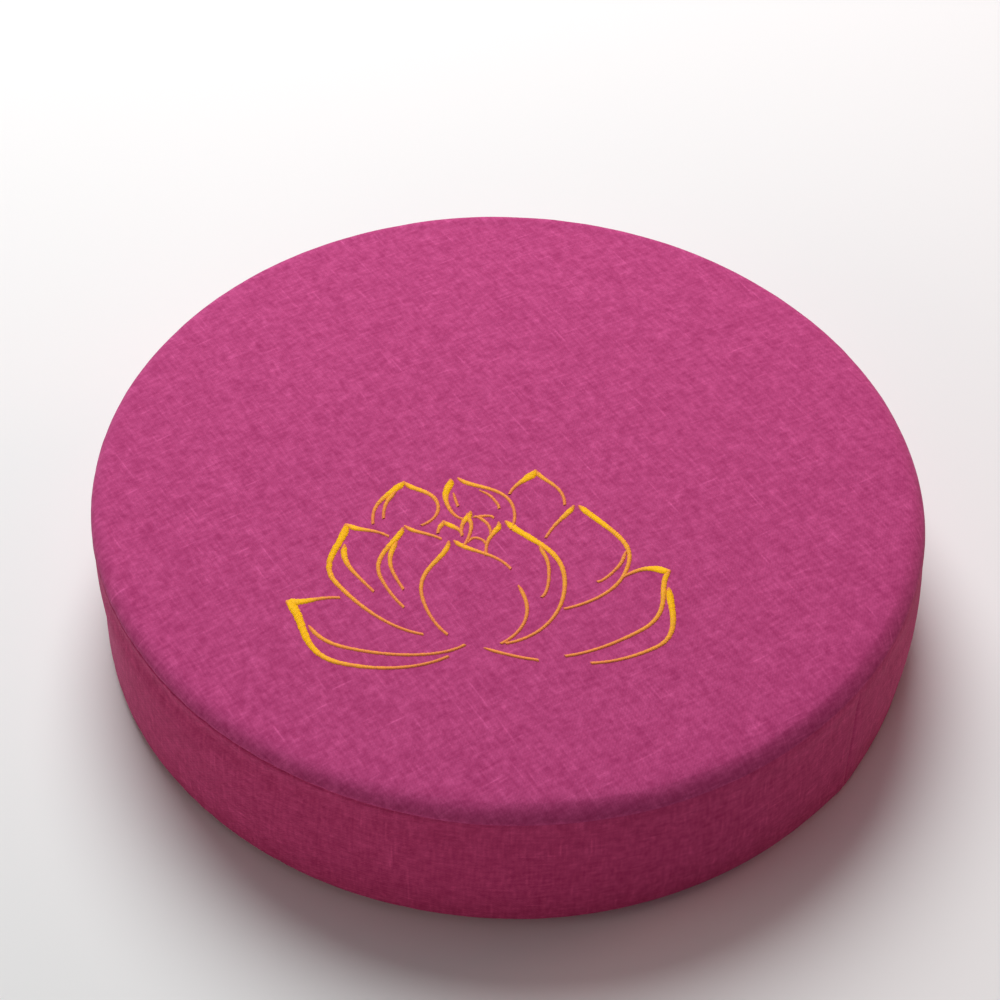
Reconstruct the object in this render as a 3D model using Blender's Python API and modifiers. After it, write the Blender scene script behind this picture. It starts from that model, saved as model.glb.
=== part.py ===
"""Round meditation cushion, boxed and filled, with a lotus embroidered on its top panel.

The cushion stands on its flat bottom panel at z = 0 with its axis on Z. The lotus stands upright
along +Y, near the front edge, so a sitter who faces -Y has it before the knees. Two round panels
and an upright boxing strip are sewn to each other with plain seams: the filled cushion is one
solid, drawn in at the seams and crowned on top. Each stroke of the embroidery is a run of thread
of its own, which lies on the top panel.
"""

import math
from collections import namedtuple

import bmesh
import bpy

MM = 0.001

# Cushion, in millimetres
RADIUS = 200.0
RIM_HEIGHT = 82.0
CROWN = 4.0
CROWN_POWER = 2.4
SHOULDER = 8.5
FOOT_ROLL = 7.0
FOOT_INSET = 0.5
BOXING_BULGE = 1.4
TOP_SEAM_HEIGHT = RIM_HEIGHT - SHOULDER
BOTTOM_SEAM_ANGLE = 60.0
BOTTOM_SEAM_HEIGHT = FOOT_ROLL * (1 - math.sin(math.radians(BOTTOM_SEAM_ANGLE)))
SEAM_DEPTH = 1.3
SEAM_REACH = 1.7

# The strip's end seam runs up the right side, a little off upright
END_SEAM_AZIMUTH = -45.2
END_SEAM_SLANT = 0.01
END_SEAM_DEPTH = 1.0
END_SEAM_REACH = 4.5

# How unevenly the filling lies
LEAN = (1.6, -1.8)
SIDE_DENT = 0.7
TOP_DENT = 0.45
DENT_FADE = 48.0
Wave = namedtuple("Wave", "count phase twist share")
SIDE_WAVES = (Wave(3, 0.7, 0.0, 1.0), Wave(5, 2.0, 2.0, 0.7), Wave(11, 0.0, 4.0, 0.5))

# Mesh density
TURNS = 96
TOP_RINGS = (0, 24, 47, 69, 90, 110, 128, 145, 160, 173, 183)
SHOULDER_STEPS = 6
BOXING_STEPS = 7
FOOT_RINGS = (185, 130, 65, 0)
SEAM_CROWD = 0.72
SEAM_CROWD_ANGLE = 0.12

# Embroidery, in millimetres
FLOWER_AT = (-23.8, -106.8)
THREAD_CLEAR = 0.3
THREAD_HEIGHT = 0.8
THREAD_FLANK = 0.55
THREAD_START = 0.30
THREAD_THIN = 1.2
THREAD_TAPER = 1.5
SWELL_LENGTH = 4.0
THREAD_STEP = 6.5
START_CROWD = 1.3
FINE_STEPS = 120

# Where a petal's two curves are pulled, as shares of the half-breadth and of the length that each
# curve covers: out of the base, into the widest place, out of it again, and down from the tip
FOOT_PULL = (0.62, 0.08)
BELLY_PULL = 0.52
CHEEK_PULL = 0.62
TIP_PULL = 0.34

LINEN = (0.47, 0.055, 0.19)
GOLD_THREAD = (0.93, 0.46, 0.05)

# A petal stands between its base and its tip. Its outline swells to the half-breadths left and
# right at the fraction high of its length. It draws in to a fine tip where full is low, and to a
# broad one where full is high. A vein is a narrow petal of which one side is sewn.
Petal = namedtuple("Petal", "base tip left right high full")
PETALS = {
    "front": Petal((-2, 0), (-10, 64), 20, 26, 0.51, 0.14),
    "front_low": Petal((3, -2), (-10, 64), 4, 22, 0.36, 0.14),
    "inner_left": Petal((-11, 11), (-30, 77), 22, 15, 0.60, 0.14),
    "inner_right": Petal((4, 0), (18, 73), 12, 30, 0.50, 0.14),
    "inner_right_vein": Petal((28, 25), (31, 57), 2, 4, 0.50, 0.14),
    "middle_left": Petal((-16, 9), (-57, 80), 25, 16, 0.67, 0.20),
    "middle_right": Petal((18, 17), (54, 79), 8, 36, 0.57, 0.72),
    "middle_right_vein": Petal((55, 30), (70, 44), 1, 3, 0.50, 0.14),
    "low_left": Petal((-8, 1), (-88, 37), 27, 12, 0.60, 0.14),
    "low_right": Petal((14, -4), (90, 35), 11, 22, 0.62, 0.14),
    "low_right_outer": Petal((14, 0), (91, 35), 10, 34, 0.63, 0.14),
    "back_left": Petal((-27, 72), (-27, 105), 16, 15, 0.46, 0.14),
    "back_left_near": Petal((-26, 66), (-27, 105), 18, 10, 0.36, 0.50),
    "back_centre": Petal((3, 60), (-2, 105), 11, 22, 0.46, 0.14),
    "back_centre_near": Petal((-2, 74), (-4, 104), 6, 5, 0.52, 0.14),
    "back_right": Petal((30, 60), (37, 106), 13, 15, 0.52, 0.20),
    "bud_left": Petal((-13, 62), (-11, 77), 6, 9, 0.50, 0.14),
    "bud_right": Petal((3, 60), (2, 82), 5, 9, 0.50, 0.14),
    "bud_back": Petal((8, 62), (3.5, 81.5), 5, 8, 0.62, 0.50),
    "bud_vein": Petal((-2, 60), (1.5, 79.5), 2, 3, 0.60, 0.14),
    "root": Petal((-3, -1), (22, -11), 2, 2, 0.50, 0.14),
}

# A stroke follows one side of a petal from the fraction begin to the fraction end, inset by some
# millimetres where it is the second of a double line.
Stroke = namedtuple("Stroke", "name petal side begin end inset width")
STROKES = (
    Stroke("front_left", "front", "left", 1.00, 0.24, 0, 2.6),
    Stroke("front_right", "front", "right", 0.94, 0.58, 0, 2.6),
    Stroke("front_right_low", "front_low", "right", 0.42, 0.06, 0, 1.8),
    Stroke("inner_left", "inner_left", "left", 1.00, 0.36, 0, 2.8),
    Stroke("inner_left_double", "inner_left", "left", 0.78, 0.49, 6.4, 2.4),
    Stroke("inner_left_back", "inner_left", "right", 0.95, 0.72, 0, 2.2),
    Stroke("inner_right", "inner_right", "right", 1.00, 0.10, 0, 3.6),
    Stroke("inner_right_double", "inner_right_vein", "right", 0.77, 0.02, 0, 2.0),
    Stroke("inner_right_back", "inner_right", "left", 0.93, 0.70, 0, 3.4),
    Stroke("middle_left", "middle_left", "left", 1.00, 0.17, 0, 3.4),
    Stroke("middle_left_double", "middle_left", "left", 0.84, 0.54, 10.0, 3.0),
    Stroke("middle_left_back", "middle_left", "right", 0.95, 0.79, 0, 2.6),
    Stroke("middle_right", "middle_right", "right", 1.00, 0.18, 0, 3.2),
    Stroke("middle_right_double", "middle_right_vein", "right", 0.76, 0.02, 0, 1.8),
    Stroke("middle_right_back", "middle_right", "left", 0.95, 0.64, 0, 2.8),
    Stroke("low_left", "low_left", "left", 1.00, 0.13, 0, 3.8),
    Stroke("low_left_double", "low_left", "left", 0.75, 0.03, 9.0, 2.0),
    Stroke("low_left_top", "low_left", "right", 0.945, 0.75, 0, 3.4),
    Stroke("low_right", "low_right_outer", "right", 0.87, 0.36, 0, 3.0),
    Stroke("low_right_double", "low_right", "right", 1.00, 0.24, 0, 2.2),
    Stroke("low_right_top", "low_right", "left", 0.95, 0.79, 0, 3.8),
    Stroke("back_left", "back_left_near", "left", 1.00, 0.36, 0, 3.4),
    Stroke("back_left_double", "back_left_near", "left", 0.72, 0.40, 5.5, 1.8),
    Stroke("back_left_far", "back_left", "right", 0.92, 0.12, 0, 2.4),
    Stroke("back_centre", "back_centre_near", "left", 1.00, 0.22, 0, 4.2),
    Stroke("back_centre_far", "back_centre", "right", 0.92, 0.34, 0, 2.4),
    Stroke("back_right", "back_right", "left", 1.00, 0.62, 0, 4.0),
    Stroke("back_right_far", "back_right", "right", 0.91, 0.50, 0, 2.2),
    Stroke("bud_left", "bud_left", "left", 0.84, 0.57, 0, 1.8),
    Stroke("bud_left_far", "bud_left", "right", 1.00, 0.60, 0, 2.8),
    Stroke("bud_right", "bud_right", "left", 1.00, 0.56, 0, 2.4),
    Stroke("bud_right_far", "bud_right", "right", 0.80, 0.36, 0, 1.6),
    Stroke("bud_back", "bud_back", "right", 0.93, 0.68, 0, 1.6),
    Stroke("bud_vein", "bud_vein", "right", 0.84, 0.08, 0, 1.8),
    Stroke("root_right", "root", "right", 0.04, 0.98, 0, 1.5),
)


def clear_scene():
    for leftover in list(bpy.data.objects):
        bpy.data.objects.remove(leftover, do_unlink=True)


def new_collection(name):
    collection = bpy.data.collections.new(name)
    bpy.context.scene.collection.children.link(collection)
    return collection


def cloth_material(name, colour, roughness, sheen):
    material = bpy.data.materials.new(name)
    material.use_nodes = True
    shader = material.node_tree.nodes["Principled BSDF"]
    shader.inputs["Base Color"].default_value = (*colour, 1.0)
    shader.inputs["Roughness"].default_value = roughness
    shader.inputs["Metallic"].default_value = 0.0
    shader.inputs["Sheen Weight"].default_value = sheen
    return material


# Form of the cushion

def crown_height(radius):
    """Height of the top panel at a distance from the axis, with no dents."""
    inner = RADIUS - SHOULDER
    return RIM_HEIGHT + CROWN * (1 - min(radius / inner, 1) ** CROWN_POWER)


def top_dent(x, y):
    """Soft hollows and swellings of the top panel, which fade out before the shoulder."""
    waves = math.sin(x / 47 + 0.6) * math.cos(y / 58 - 0.4) + 0.6 * math.sin((x + y) / 39 + 2.1)
    fade = min(max((RADIUS - SHOULDER - math.hypot(x, y)) / DENT_FADE, 0), 1)
    return TOP_DENT * waves * fade


def top_height(x, y):
    return crown_height(math.hypot(x, y)) + top_dent(x, y)


def seam_groove(height):
    """How far the two round seams draw the cloth in at a height."""
    drawn = 0
    for seam in (TOP_SEAM_HEIGHT, BOTTOM_SEAM_HEIGHT):
        drawn += SEAM_DEPTH * math.exp(-(((height - seam) / SEAM_REACH) ** 2))
    return drawn


def cushion_profile():
    """The turned outline as (radius, height), down the outer side from top centre to bottom centre."""
    points = [(radius, crown_height(radius)) for radius in TOP_RINGS]
    for step in range(SHOULDER_STEPS + 1):
        angle = math.pi / 2 * (1 - step / SHOULDER_STEPS)
        radius = RADIUS - SHOULDER + SHOULDER * math.cos(angle)
        points.append((radius, RIM_HEIGHT - SHOULDER + SHOULDER * math.sin(angle)))
    upper = TOP_SEAM_HEIGHT - 2 * SEAM_REACH
    lower = FOOT_ROLL + SEAM_REACH
    for step in range(BOXING_STEPS + 1):
        along = step / BOXING_STEPS
        height = upper + (lower - upper) * along
        radius = RADIUS - FOOT_INSET * along + BOXING_BULGE * math.sin(math.pi * along)
        points.append((radius, height))
    foot = RADIUS - FOOT_INSET
    for step in range(SHOULDER_STEPS + 1):
        angle = math.pi / 2 * step / SHOULDER_STEPS
        radius = foot - FOOT_ROLL + FOOT_ROLL * math.cos(angle)
        points.append((radius, FOOT_ROLL - FOOT_ROLL * math.sin(angle)))
    points += [(radius, 0) for radius in FOOT_RINGS]
    return [(max(radius - seam_groove(height), 0), height) for radius, height in points]


def crowd_to_end_seam(azimuth):
    """Moves the mesh's upright lines closer together beside the strip's end seam."""
    seam = math.radians(END_SEAM_AZIMUTH)
    off = (azimuth - seam + math.pi) % (2 * math.pi) - math.pi
    return seam + off * (1 - SEAM_CROWD * math.exp(-((off / SEAM_CROWD_ANGLE) ** 2)))


def end_seam_groove(azimuth, height):
    """How far the strip's end seam draws the boxing in; it dies away at the round seams."""
    middle = (TOP_SEAM_HEIGHT + BOTTOM_SEAM_HEIGHT) / 2
    seam = math.radians(END_SEAM_AZIMUTH) + END_SEAM_SLANT * (height - middle) / RIM_HEIGHT
    off = RADIUS * ((azimuth - seam + math.pi) % (2 * math.pi) - math.pi)
    along = (height - BOTTOM_SEAM_HEIGHT) / (TOP_SEAM_HEIGHT - BOTTOM_SEAM_HEIGHT)
    if not 0 < along < 1:
        return 0
    return END_SEAM_DEPTH * math.sin(math.pi * along) ** 0.5 * math.exp(-((off / END_SEAM_REACH) ** 2))


def side_dent(azimuth, height):
    """Uneven filling behind the boxing, in and out; nothing at the floor or on the top panel."""
    along = min(max(height / RIM_HEIGHT, 0), 1)
    waves = sum(w.share * math.sin(w.count * azimuth + w.phase + w.twist * along) for w in SIDE_WAVES)
    return SIDE_DENT * waves * math.sin(math.pi * along)


def settle(x, y, height):
    """Where a point of the turned form lies once the filling has settled."""
    radius = math.hypot(x, y)
    azimuth = crowd_to_end_seam(math.atan2(y, x))
    if height > RIM_HEIGHT - SHOULDER / 2 and radius < RADIUS - SHOULDER:
        x, y = radius * math.cos(azimuth), radius * math.sin(azimuth)
        return x, y, height + top_dent(x, y)
    if height > 0:
        radius += side_dent(azimuth, height) - end_seam_groove(azimuth, height)
    lean = max(1 - (height / RIM_HEIGHT) ** 2, 0)
    x = radius * math.cos(azimuth) + LEAN[0] * lean
    y = radius * math.sin(azimuth) + LEAN[1] * lean
    return x, y, height


def make_cushion(collection, linen):
    outline = bpy.data.meshes.new("cushion_outline")
    points = [(radius * MM, 0, height * MM) for radius, height in cushion_profile()]
    outline.from_pydata(points, [(i, i + 1) for i in range(len(points) - 1)], [])
    turned = bpy.data.objects.new("cushion_outline", outline)
    collection.objects.link(turned)
    screw = turned.modifiers.new("Turn", "SCREW")
    screw.steps = screw.render_steps = TURNS
    screw.use_merge_vertices = True
    screw.merge_threshold = 0.0001
    depsgraph = bpy.context.evaluated_depsgraph_get()
    mesh = bpy.data.meshes.new_from_object(turned.evaluated_get(depsgraph))
    bpy.data.objects.remove(turned)

    form = bmesh.new()
    form.from_mesh(mesh)
    bmesh.ops.remove_doubles(form, verts=form.verts, dist=0.0001)
    for vertex in form.verts:
        settled = settle(*(value / MM for value in vertex.co))
        vertex.co = [value * MM for value in settled]
    bmesh.ops.recalc_face_normals(form, faces=form.faces)
    form.to_mesh(mesh)
    form.free()
    mesh.name = "cushion"
    mesh.shade_smooth()
    mesh.materials.clear()
    mesh.materials.append(linen)
    cushion = bpy.data.objects.new("cushion", mesh)
    collection.objects.link(cushion)
    return cushion


# Form of the embroidery

def bezier(start, out, into, end, t):
    s = 1 - t
    weights = (s**3, 3 * s * s * t, 3 * s * t * t, t**3)
    knots = (start, out, into, end)
    return [sum(w * knot[i] for w, knot in zip(weights, knots)) for i in (0, 1)]


def petal_side(petal, side, t, inset):
    """A point on one side of a petal, at the fraction t of the way from its base to its tip."""
    length = math.dist(petal.base, petal.tip)
    breadth = (petal.left if side == "left" else petal.right) - inset
    widest = petal.high * length
    rise = length - widest
    if t < petal.high:
        out = (breadth * FOOT_PULL[0], widest * FOOT_PULL[1])
        into = (breadth, widest * (1 - BELLY_PULL))
        across, along = bezier((0, 0), out, into, (breadth, widest), t / petal.high)
    else:
        out = (breadth, widest + rise * CHEEK_PULL)
        into = (breadth * petal.full, length - rise * TIP_PULL)
        share = (t - petal.high) / (1 - petal.high)
        across, along = bezier((breadth, widest), out, into, (0, length), share)
    if side == "left":
        across = -across
    up = [(tip - base) / length for base, tip in zip(petal.base, petal.tip)]
    x = petal.base[0] + up[0] * along + up[1] * across
    y = petal.base[1] + up[1] * along - up[0] * across
    return x + FLOWER_AT[0], y + FLOWER_AT[1]


def stroke_width(stroke, s, length):
    """Width of a stroke at the fraction s of its length: it swells soon and thins towards its end."""
    swell = SWELL_LENGTH / length
    if s < swell:
        return stroke.width * (THREAD_START + (1 - THREAD_START) * math.sin(math.pi / 2 * s / swell))
    left = ((1 - s) / (1 - swell)) ** THREAD_TAPER
    return THREAD_THIN + (stroke.width - THREAD_THIN) * left


def stroke_path(stroke):
    """Points along a stroke, closest at its start, each with the direction across it and its width."""
    petal = PETALS[stroke.petal]
    run = []
    for i in range(FINE_STEPS + 1):
        t = stroke.begin + (stroke.end - stroke.begin) * i / FINE_STEPS
        run.append(petal_side(petal, stroke.side, t, stroke.inset))
    reach = [0.0]
    for a, b in zip(run, run[1:]):
        reach.append(reach[-1] + math.dist(a, b))
    length = reach[-1]
    count = max(round(length / THREAD_STEP), 4)
    path = []
    for k in range(count + 1):
        s = (k / count) ** START_CROWD
        i = max(j for j in range(FINE_STEPS) if reach[j] <= length * s)
        part = (length * s - reach[i]) / (reach[i + 1] - reach[i])
        x, y = (a + (b - a) * part for a, b in zip(run[i], run[i + 1]))
        heading = math.atan2(run[i + 1][1] - run[i][1], run[i + 1][0] - run[i][0])
        path.append((x, y, -math.sin(heading), math.cos(heading), stroke_width(stroke, s, length)))
    return path


def make_thread(collection, stroke, gold):
    """One stroke of satin stitch: low, rounded over, and lying on the crowned panel."""
    form = bmesh.new()
    rings = []
    for x, y, across_x, across_y, width in stroke_path(stroke):
        half = width / 2
        height = min(THREAD_HEIGHT, half)
        section = ((-half, 0), (-half * THREAD_FLANK, height), (half * THREAD_FLANK, height), (half, 0))
        ring = []
        for off, lift in section:
            px, py = x + across_x * off, y + across_y * off
            pz = top_height(px, py) + THREAD_CLEAR + lift
            ring.append(form.verts.new((px * MM, py * MM, pz * MM)))
        rings.append(ring)
    for near, far in zip(rings, rings[1:]):
        for i in range(len(near)):
            j = (i + 1) % len(near)
            form.faces.new((near[i], near[j], far[j], far[i]))
    form.faces.new(rings[0])
    form.faces.new(rings[-1])
    bmesh.ops.recalc_face_normals(form, faces=form.faces)
    mesh = bpy.data.meshes.new("thread_" + stroke.name)
    form.to_mesh(mesh)
    form.free()
    mesh.shade_smooth()
    mesh.materials.append(gold)
    thread = bpy.data.objects.new(mesh.name, mesh)
    collection.objects.link(thread)
    return thread


def centre_on_origin(parts, cushion):
    """Moves every piece so that the cushion's plan is centred on the Z axis."""
    xs = [vertex.co.x for vertex in cushion.data.vertices]
    ys = [vertex.co.y for vertex in cushion.data.vertices]
    shift = ((min(xs) + max(xs)) / 2, (min(ys) + max(ys)) / 2)
    for part in parts:
        for vertex in part.data.vertices:
            vertex.co.x -= shift[0]
            vertex.co.y -= shift[1]


def main():
    clear_scene()
    collection = new_collection("meditation_cushion")
    linen = cloth_material("raspberry_linen", LINEN, 0.85, 0.3)
    gold = cloth_material("gold_thread", GOLD_THREAD, 0.45, 0.1)
    cushion = make_cushion(collection, linen)
    threads = [make_thread(collection, stroke, gold) for stroke in STROKES]
    centre_on_origin([cushion, *threads], cushion)


main()
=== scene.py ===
# %% [markdown]
# # A meditation cushion in raspberry linen
# The imported model gives every piece its place and size. This script dresses it: the filled cushion
# gets its soft form, seams and weave, and each stroke of the lotus gets its satin stitches.
# The frame is loaded first, and the cushion's box is measured and printed. The dressed cushion has
# to stay that size.

# %% Load the frame
import math
from collections import namedtuple

import bmesh
import bpy
import numpy as np
from mathutils import Matrix, Vector, noise
from mathutils.bvhtree import BVHTree


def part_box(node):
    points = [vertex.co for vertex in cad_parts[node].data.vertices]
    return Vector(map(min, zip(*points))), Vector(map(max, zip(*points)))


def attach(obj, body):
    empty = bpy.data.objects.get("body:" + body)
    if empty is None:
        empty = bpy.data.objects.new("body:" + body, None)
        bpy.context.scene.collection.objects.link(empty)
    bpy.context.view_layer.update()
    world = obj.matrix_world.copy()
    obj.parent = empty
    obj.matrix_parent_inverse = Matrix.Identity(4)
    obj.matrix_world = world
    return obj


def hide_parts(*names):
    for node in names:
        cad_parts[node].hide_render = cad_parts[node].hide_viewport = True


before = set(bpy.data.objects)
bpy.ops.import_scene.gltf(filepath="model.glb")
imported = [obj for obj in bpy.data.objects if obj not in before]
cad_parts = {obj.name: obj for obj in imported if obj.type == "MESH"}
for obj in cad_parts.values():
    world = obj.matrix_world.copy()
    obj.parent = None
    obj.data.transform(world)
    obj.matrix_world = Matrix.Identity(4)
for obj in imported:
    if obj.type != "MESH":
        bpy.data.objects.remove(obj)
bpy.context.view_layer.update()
scene = bpy.context.scene
MM = 0.001
low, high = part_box("cushion")
print("cushion", [round(side / MM, 1) for side in high - low], "mm")

# %% [markdown]
# ## The camera
# The photograph was taken from about two steps away with a long lens, looking down at about 48
# degrees, with the lotus turned a little to the left. A camera matrix is built from the way the
# lens looks, because a track constraint would not give the small roll that the picture has.

# %% Place the camera
LENS_MM = 90
CAMERA_AZIMUTH = math.radians(-9.5)
CAMERA_ELEVATION = math.radians(48.28)
CAMERA_ROLL = math.radians(2.28)
CAMERA_DISTANCE = 1.2652
AIM = Vector((-0.0029, 0.0644, 0))
TOP_CENTRE = Vector((-0.0025, 0.0012, 0))


def place_camera():
    turn = Matrix.Rotation(CAMERA_AZIMUTH, 3, "Z")
    back = Vector((0, -math.cos(CAMERA_ELEVATION), math.sin(CAMERA_ELEVATION)))
    place = turn @ (back * CAMERA_DISTANCE) + TOP_CENTRE
    forward = (turn @ AIM + TOP_CENTRE - place).normalized()
    right = forward.cross(Vector((0, 0, 1))).normalized()
    up = right.cross(forward)
    rolled_right = math.cos(CAMERA_ROLL) * right + math.sin(CAMERA_ROLL) * up
    rolled_up = math.cos(CAMERA_ROLL) * up - math.sin(CAMERA_ROLL) * right
    camera = bpy.data.objects.new("camera", bpy.data.cameras.new("camera"))
    scene.collection.objects.link(camera)
    camera.data.lens = LENS_MM
    camera.matrix_world = Matrix.Translation(place) @ Matrix(
        (rolled_right, rolled_up, -forward)).transposed().to_4x4()
    scene.camera = camera
    return camera


camera = place_camera()
print("camera at", [round(value, 3) for value in camera.location])

# %% [markdown]
# ## Nodes that read like sums
# A weave is mostly arithmetic: which thread lies on top, and how high. Wired by hand that is a
# page of Math nodes, so a small class wraps a socket and lets Python's own operators add them.
# Every other node comes from one method, which sets the node up first and then feeds its sockets.

# %% A wrapper for node sockets
class Wire:
    """A node's output that takes part in Python sums."""

    def __init__(self, nodes, socket):
        self.nodes, self.socket = nodes, socket

    def out(self, name):
        return Wire(self.nodes, self.socket.node.outputs[name])

    def maths(self, operation, *others):
        return self.nodes.maths(operation, self, *others)

    def __add__(self, other):
        return self.maths("ADD", other)

    def __sub__(self, other):
        return self.maths("SUBTRACT", other)

    def __rsub__(self, other):
        return self.nodes.maths("SUBTRACT", other, self)

    def __mul__(self, other):
        return self.maths("MULTIPLY", other)

    def __truediv__(self, other):
        return self.maths("DIVIDE", other)

    def __pow__(self, other):
        return self.maths("POWER", other)

    __radd__ = __add__
    __rmul__ = __mul__


class Nodes:
    """Adds nodes to a tree, each with its settings first and its sockets after."""

    def __init__(self, tree):
        self.tree = tree

    def add(self, kind, settings=None, sockets=None, output=0):
        node = self.tree.nodes.new(kind)
        for name, value in (settings or {}).items():
            setattr(node, name, value)
        self.feed(node, sockets or {})
        return Wire(self, node.outputs[output]) if len(node.outputs) else node

    def maths(self, operation, *values):
        return self.add("ShaderNodeMath", {"operation": operation}, dict(enumerate(values)))

    def noise(self, place, scale, detail):
        """Smooth noise between 0 and 1; a larger scale makes it finer."""
        sockets = {"Vector": place, "Scale": scale, "Detail": detail}
        return self.add("ShaderNodeTexNoise", {}, sockets, "Fac")

    def feed(self, node, sockets):
        """Links a wire to a socket, and sets any other value on the socket itself."""
        for name, value in sockets.items():
            socket = node.inputs[name]
            if isinstance(value, Wire):
                self.tree.links.new(value.socket, socket)
            elif socket.type == "RGBA":
                socket.default_value = (*value, 1.0)
            else:
                socket.default_value = value


def new_material(name):
    """A material, a helper for its node tree, and its Principled shader."""
    material = bpy.data.materials.new(name)
    material.use_nodes = True
    return material, Nodes(material.node_tree), material.node_tree.nodes["Principled BSDF"]


# %% [markdown]
# ## Linen-look cloth
# The cover is a plain weave of soft slub yarns. One yarn goes over its neighbour and under the
# next, and every yarn has thick, paler stretches, which show as short streaks in both directions.
# The pattern is worked out on a UV map in metres of cloth, so it follows each cut panel: turned
# on the round top, upright on the boxing. Noise per yarn gives the streaks, broader noise makes the
# dye uneven, and a bump gives relief, with a little painted shade where the weave lies low.

# %% The linen's finish
YARN_PITCH = 0.00090
YARN_WANDER = 0.0020
YARNS_APART = 3.7
STREAK_BREADTH = 1.7
STREAK_LENGTH = 9.0
THICK_LENGTH = 9.0
UNEVEN_LENGTH = 2.6
SLUB_LENGTH = 26.0
SLUB_FROM, SLUB_FULL = 0.66, 0.78
THICK_SHARE = 0.6
WEAVE_WAVE = 0.38
THIN_HEIGHT, TONE_HEIGHT, SLUB_HEIGHT = 0.55, 0.9, 0.3
OVERLAP = 0.3
DYE_DARK = (0.355, 0.0327, 0.139)
DYE_PALE = (0.655, 0.1065, 0.308)
# Painted shade: the boxing strip's colours, redder and deeper than the top's, for the shade the boxing
# stands in.
STRIP_SHADE_DARK = (0.362, 0.0257, 0.111)
STRIP_SHADE_PALE = (0.666, 0.0845, 0.249)
DYE_CURVE = 1.4
# The first share is painted shade: where the weave lies low the linen is darker. The other shares are the
# yarns' own tone.
HOLLOW_SHADE_LIGHT, TONE_LIGHT, STREAK_LIGHT, SLUB_LIGHT = 0.06, 0.74, 0.56, 0.24
DARKEST, PALEST = 1.185, 2.265
Mottle = namedtuple("Mottle", "light scale detail")
MOTTLES = (Mottle(0.48, 420.0, 1.0), Mottle(0.50, 190.0, 1.0), Mottle(0.42, 70.0, 3.0))
LINEN_RELIEF = 0.00022
SLUB_RELIEF = 0.8
CREST_SMOOTHNESS = 0.14


def linen_coordinates(nodes, flat):
    """Across and along the cloth, counted in yarns, with the yarns wandering a little."""
    drift = nodes.add("ShaderNodeTexNoise", {}, {"Vector": flat, "Scale": 30.0, "Detail": 3.0}, "Color")
    centred = nodes.add("ShaderNodeVectorMath", {"operation": "SUBTRACT"}, {0: drift, 1: (0.5, 0.5, 0.5)})
    shift = nodes.add("ShaderNodeVectorMath", {"operation": "SCALE"}, {0: centred, "Scale": YARN_WANDER})
    moved = nodes.add("ShaderNodeVectorMath", {"operation": "ADD"}, {0: flat, 1: shift})
    parts = nodes.add("ShaderNodeSeparateXYZ", {}, {0: moved}, "X")
    return parts * (1 / YARN_PITCH), parts.out("Y") * (1 / YARN_PITCH)


def yarn_noise(nodes, across, along, seed):
    """Noise in a plane of its own, which the seed sets apart from the others."""
    return nodes.noise(nodes.add("ShaderNodeCombineXYZ", {}, {0: across, 1: along, 2: seed}), 1.0, 1.0)


def streaks(nodes, across, along, seed):
    """Bands of two or three yarns that took the dye alike, long in the yarns' direction."""
    return yarn_noise(nodes, across / STREAK_BREADTH, along / STREAK_LENGTH, seed)


def smooth_between(nodes, value, low, high):
    return nodes.add("ShaderNodeMapRange", {"interpolation_type": "SMOOTHSTEP"},
                     {"Value": value, "From Min": low, "From Max": high})


def yarn_set(nodes, across, along, seed):
    """One direction's yarns: each one's height, its tone, and where it is a thick pale slub."""
    column = across.maths("FLOOR")
    own = column * YARNS_APART
    inside = across.maths("FRACT") * 2 - 1
    rounded = 1 - inside * inside
    wave = ((along + column) * math.pi).maths("COSINE")
    thick = yarn_noise(nodes, own, along / THICK_LENGTH, seed)
    uneven = yarn_noise(nodes, own, along / UNEVEN_LENGTH, seed + 9)
    tone = THICK_SHARE * thick + (1 - THICK_SHARE) * uneven
    rare = yarn_noise(nodes, own, along / SLUB_LENGTH, seed + 21)
    slub = smooth_between(nodes, rare, SLUB_FROM, SLUB_FULL)
    thickness = THIN_HEIGHT + TONE_HEIGHT * tone + SLUB_HEIGHT * slub
    height = rounded * (1 - WEAVE_WAVE + WEAVE_WAVE * wave) * thickness
    return height, tone, slub


def mix_colour(nodes, share, low, high):
    return nodes.add("ShaderNodeMix", {"data_type": "RGBA"}, {0: share, 6: low, 7: high}, 2)


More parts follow.
